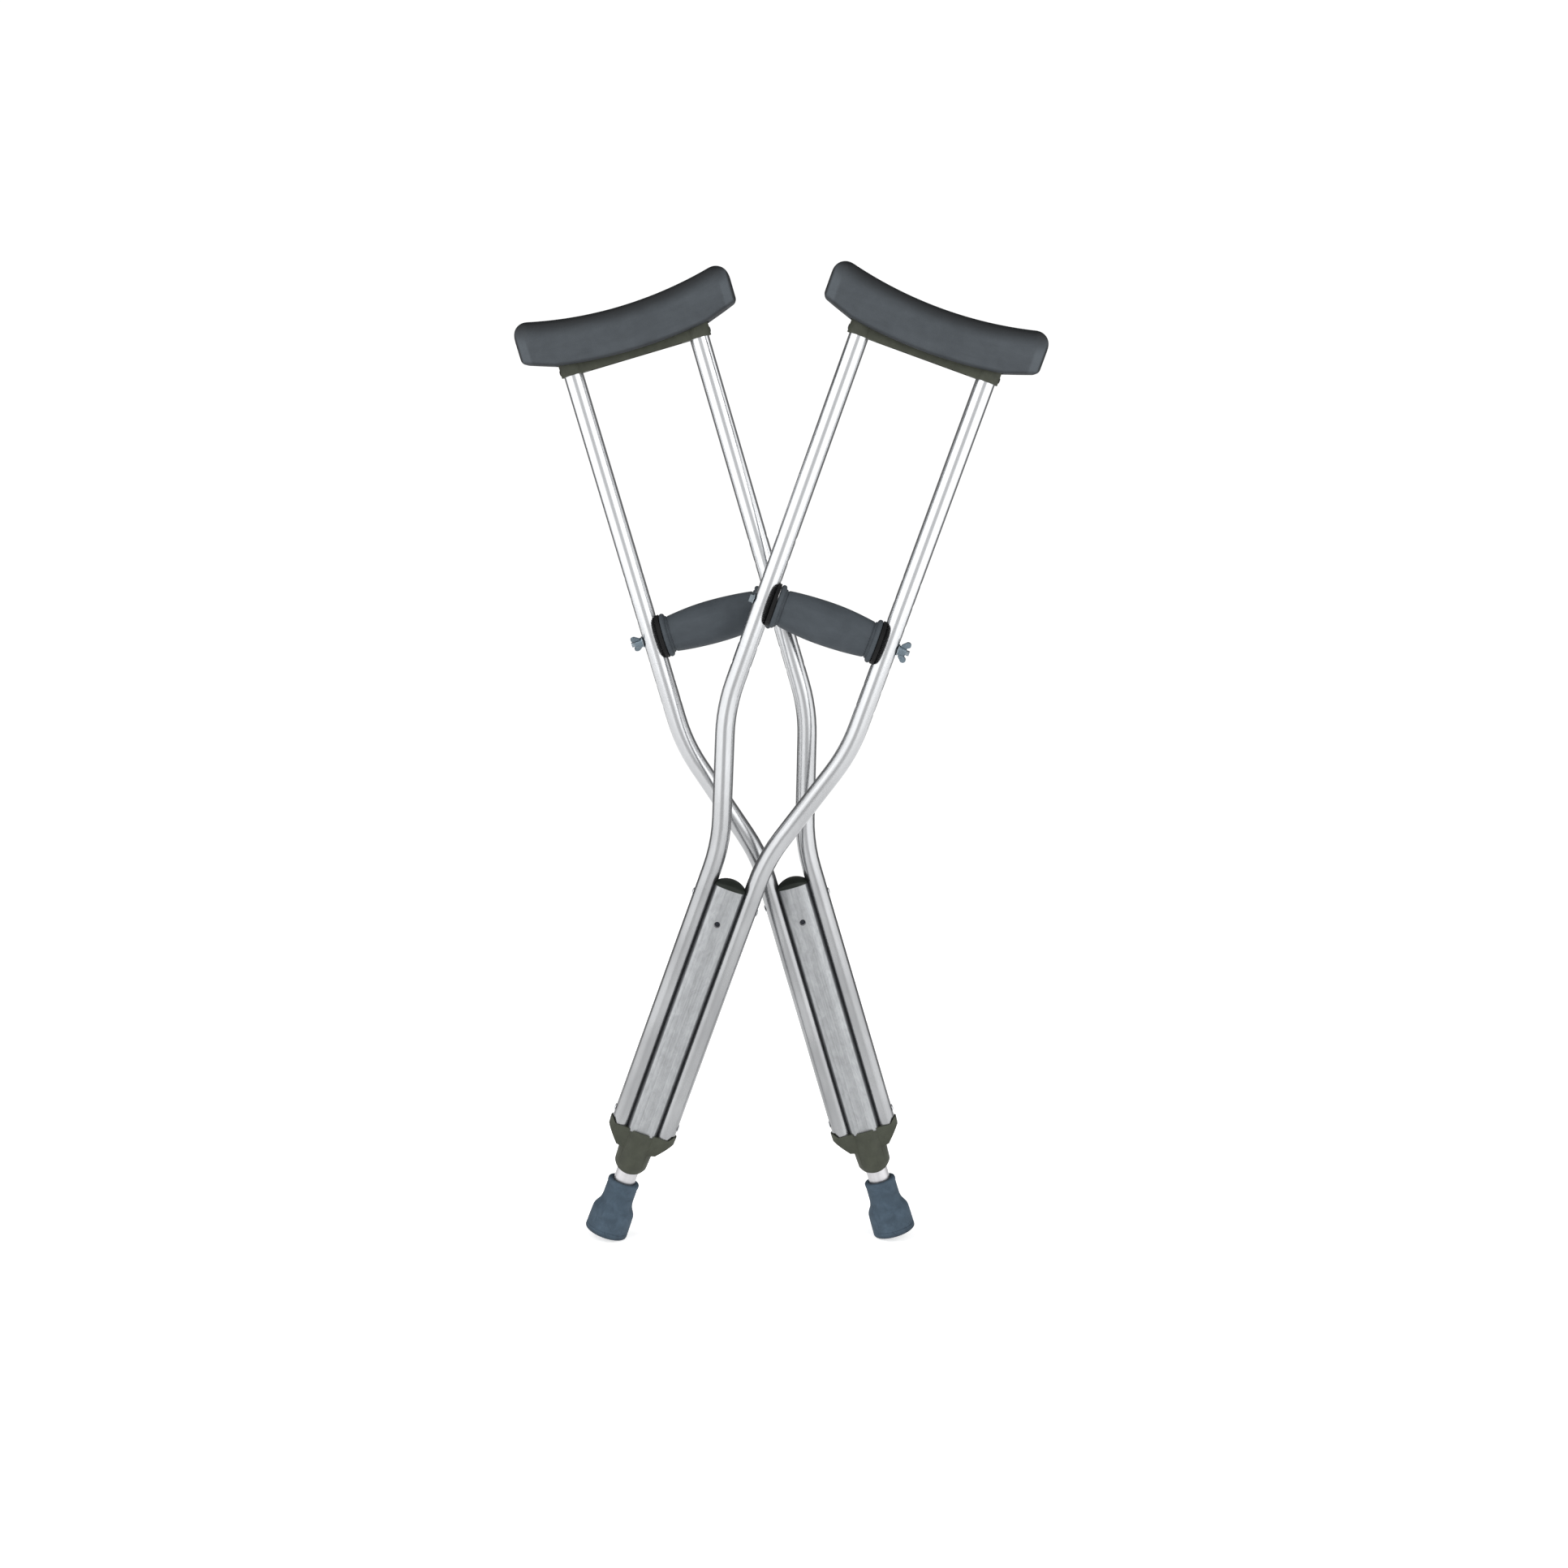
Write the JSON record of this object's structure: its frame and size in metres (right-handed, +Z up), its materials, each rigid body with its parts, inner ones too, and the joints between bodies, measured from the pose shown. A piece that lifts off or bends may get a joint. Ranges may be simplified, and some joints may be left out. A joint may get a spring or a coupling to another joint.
{
  "type": "underarm crutches",
  "caption": "Pair of aluminium underarm crutches standing crossed, with cushioned tops, sliding legs, movable hand grips, snap buttons and rubber tips.",
  "frame": {"origin": "on the floor, in the middle of the pair's box", "axes": "+Z up, +X along the pair's width towards the right crutch's cushion, +Y from the front crutch to the rear one"},
  "size_m": [0.5876, 0.1024, 1.1207],
  "materials": {
    "cushion": "charcoal vinyl over foam, smooth with a faint grain, satin",
    "olive_plastic": "moulded dark olive plastic, satin",
    "dark_rivet": "black painted blind rivet",
    "bright_tube": "bright anodised drawn tube, fine lengthwise lines",
    "satin_extrusion": "satin anodised extrusion, slightly mottled",
    "cap_plastic": "moulded near-black plastic",
    "rivet": "plain aluminium blind rivet",
    "nylon": "natural nylon",
    "leg_tube": "bright anodised tube",
    "black_plastic": "black moulded plastic",
    "spring_steel": "blued spring steel strip",
    "tip_rubber": "slate blue-grey moulded rubber, matt",
    "zinc_steel": "bright zinc plated steel",
    "button_steel": "nickel plated steel",
    "grip_foam": "charcoal closed-cell foam, matt",
    "saddle_plastic": "black moulded plastic",
    "wing_nut_zinc": "zinc plated, bluish"
  },
  "bodies": {
    "left_frame": {"left_underarm_pad": "cushion", "left_underarm_bracket": "olive_plastic", "left_bracket_rivets": "dark_rivet", "left_outer_side_tube": "bright_tube", "left_inner_side_tube": "bright_tube", "left_centre_tube": "satin_extrusion", "left_centre_tube_cap": "cap_plastic", "left_top_rivets": "rivet", "left_bottom_rivets": "rivet", "left_bottom_connector": "olive_plastic", "left_leg_guide_bush": "nylon"},
    "left_leg": {"left_leg_tube": "leg_tube", "left_leg_top_plug": "black_plastic", "left_button_spring": "spring_steel", "left_rubber_tip": "tip_rubber", "left_tip_washer": "zinc_steel"},
    "left_button": {"left_snap_button": "button_steel"},
    "left_grip": {"left_grip_core": "black_plastic", "left_grip_sleeve": "grip_foam", "left_outer_grip_saddle": "saddle_plastic", "left_inner_grip_saddle": "saddle_plastic", "left_grip_bolt": "zinc_steel", "left_grip_washers": "zinc_steel"},
    "left_wing_nut": {"left_wing_nut": "wing_nut_zinc"},
    "right_frame": {"right_underarm_pad": "cushion", "right_underarm_bracket": "olive_plastic", "right_bracket_rivets": "dark_rivet", "right_outer_side_tube": "bright_tube", "right_inner_side_tube": "bright_tube", "right_centre_tube": "satin_extrusion", "right_centre_tube_cap": "cap_plastic", "right_top_rivets": "rivet", "right_bottom_rivets": "rivet", "right_bottom_connector": "olive_plastic", "right_leg_guide_bush": "nylon"},
    "right_leg": {"right_leg_tube": "leg_tube", "right_leg_top_plug": "black_plastic", "right_button_spring": "spring_steel", "right_rubber_tip": "tip_rubber", "right_tip_washer": "zinc_steel"},
    "right_button": {"right_snap_button": "button_steel"},
    "right_grip": {"right_grip_core": "black_plastic", "right_grip_sleeve": "grip_foam", "right_outer_grip_saddle": "saddle_plastic", "right_inner_grip_saddle": "saddle_plastic", "right_grip_bolt": "zinc_steel", "right_grip_washers": "zinc_steel"},
    "right_wing_nut": {"right_wing_nut": "wing_nut_zinc"}
  },
  "joints": [
    {"name": "left_leg_slide", "type": "slide", "parent": "left_frame", "child": "left_leg", "axis": [0.3256, 0, -0.9455], "range_m": [0, 0.2032], "deforming": ["left_snap_button"]},
    {"name": "left_snap_button_press", "type": "slide", "parent": "left_leg", "child": "left_button", "axis": [0, -1, 0], "range_m": [0, 0.0054], "stiffness_N_per_m": 600, "springref_m": -0.003, "deforming": ["left_button_spring"]},
    {"name": "left_grip_slide", "type": "slide", "parent": "left_frame", "child": "left_grip", "axis": [-0.3256, 0, 0.9455], "range_m": [-0.0762, 0.0762]},
    {"name": "left_wing_nut_spin", "type": "hinge", "parent": "left_grip", "child": "left_wing_nut", "pos_m": [-0.05848, 0.026, 0.72057], "axis": [-0.9455, 0, -0.3256], "continuous": true},
    {"name": "right_leg_slide", "type": "slide", "parent": "right_frame", "child": "right_leg", "axis": [-0.2924, 0, -0.9563], "range_m": [0, 0.2032], "deforming": ["right_snap_button"]},
    {"name": "right_snap_button_press", "type": "slide", "parent": "right_leg", "child": "right_button", "axis": [0, -1, 0], "range_m": [0, 0.0054], "stiffness_N_per_m": 600, "springref_m": -0.003, "deforming": ["right_button_spring"]},
    {"name": "right_grip_slide", "type": "slide", "parent": "right_frame", "child": "right_grip", "axis": [0.2924, 0, 0.9563], "range_m": [-0.0762, 0.0762]},
    {"name": "right_wing_nut_spin", "type": "hinge", "parent": "right_grip", "child": "right_wing_nut", "pos_m": [0.06845, -0.026, 0.72793], "axis": [0.9563, 0, -0.2924], "continuous": true},
    {"name": "crutches_apart", "type": "slide", "parent": "left_frame", "child": "right_frame", "axis": [0, -1, 0], "range_m": [0, 0.25]}
  ]
}
